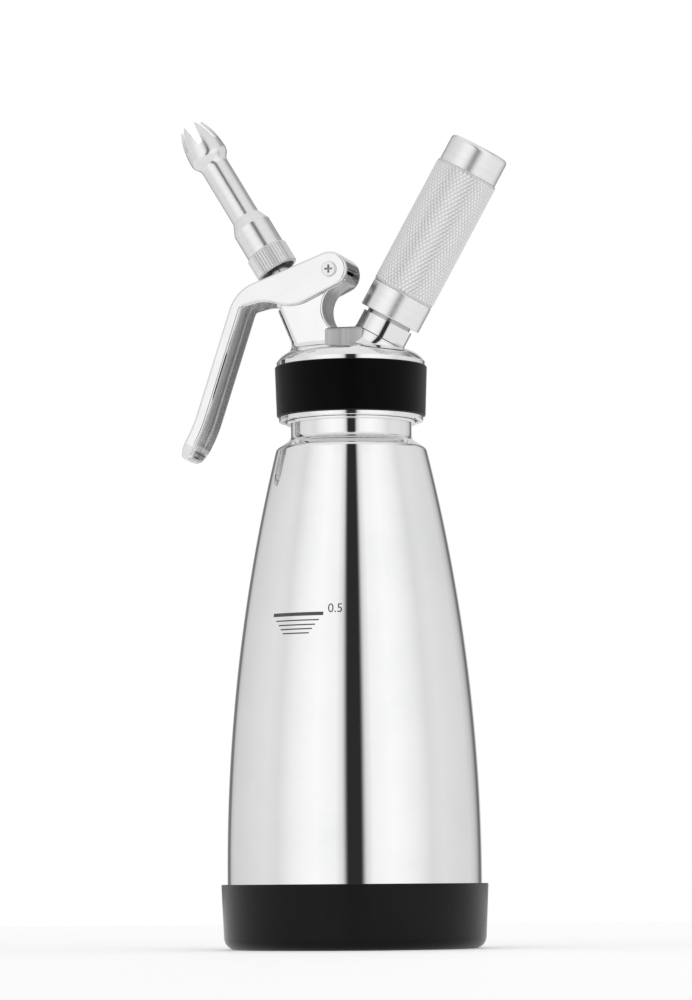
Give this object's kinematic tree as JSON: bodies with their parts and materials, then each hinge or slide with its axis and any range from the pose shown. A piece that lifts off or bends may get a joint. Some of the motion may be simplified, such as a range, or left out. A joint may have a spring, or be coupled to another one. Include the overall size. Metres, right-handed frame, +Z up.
{
  "type": "whipped cream dispenser",
  "caption": "Steel bottle in a rubber foot with a screw-on head, a squeeze lever that opens a spring valve, a fluted nozzle on the valve stem and a gas charger holder.",
  "frame": {"origin": "centre of the face that the rubber foot stands on, on the bottle's axis", "axes": "+Z up along the bottle's axis; the lever and nozzle lean to -X, the charger holder leans to +X, and the head is symmetrical about the XZ plane"},
  "size_m": [0.1145, 0.09, 0.2845],
  "materials": {
    "polished_steel": "mirror polished stainless steel",
    "lever_steel": "polished stainless steel",
    "screw_steel": "polished stainless steel",
    "plain_steel": "machined stainless steel",
    "charger_steel": "zinc plated steel",
    "socket_brass": "nickel plated brass",
    "nozzle_aluminium": "satin, fluted at its foot",
    "holder_aluminium": "satin, diamond knurled grip",
    "black_rubber": "satin moulded rubber",
    "black_grip": "satin moulded silicone",
    "seal_silicone": "matte silicone",
    "bush_plastic": "plain turned plastic"
  },
  "bodies": {
    "bottle": {"bottle": "polished_steel", "base_foot": "black_rubber"},
    "head": {"head_body": "polished_steel", "collar_grip": "black_grip", "head_gasket": "seal_silicone", "guide_bush": "bush_plastic", "stem_oring": "seal_silicone", "spring_washer": "plain_steel", "valve_spring": "plain_steel", "charger_socket": "socket_brass", "piercing_pin": "plain_steel", "pin_seal": "seal_silicone", "check_valve": "seal_silicone"},
    "valve": {"valve_stem": "plain_steel", "valve_seal": "seal_silicone", "seal_washer": "plain_steel", "seal_nut": "plain_steel", "spring_cap": "plain_steel"},
    "lever": {"lever": "lever_steel", "pivot_pin": "screw_steel", "pivot_screw": "screw_steel"},
    "nozzle": {"nozzle_ring": "nozzle_aluminium", "nozzle_tip": "nozzle_aluminium"},
    "charger_holder": {"charger_holder": "holder_aluminium", "gas_charger": "charger_steel"}
  },
  "joints": [
    {"name": "head_lift", "type": "slide", "parent": "bottle", "child": "head", "axis": [0, 0, 1], "range_m": [0, 0.05]},
    {"name": "lever_squeeze", "type": "hinge", "parent": "head", "child": "lever", "pos_m": [-0.0049, 0, 0.2297], "axis": [0, -1, 0], "range_deg": [0, 8.5], "stiffness_Nm_per_rad": 1, "springref_deg": -8.59},
    {"name": "valve_slide", "type": "slide", "parent": "head", "child": "valve", "axis": [0.515, 0, -0.8572], "range_m": [0, 0.0022], "deforming": ["valve_spring"]},
    {"name": "nozzle_lift", "type": "slide", "parent": "valve", "child": "nozzle", "axis": [-0.515, 0, 0.8572], "range_m": [0, 0.02]},
    {"name": "holder_lift", "type": "slide", "parent": "head", "child": "charger_holder", "axis": [0.4924, 0, 0.8704], "range_m": [0, 0.025]}
  ],
  "couplings": [
    {"joint": "valve_slide", "follows": "lever_squeeze", "m_per_rad": 0.0145}
  ]
}
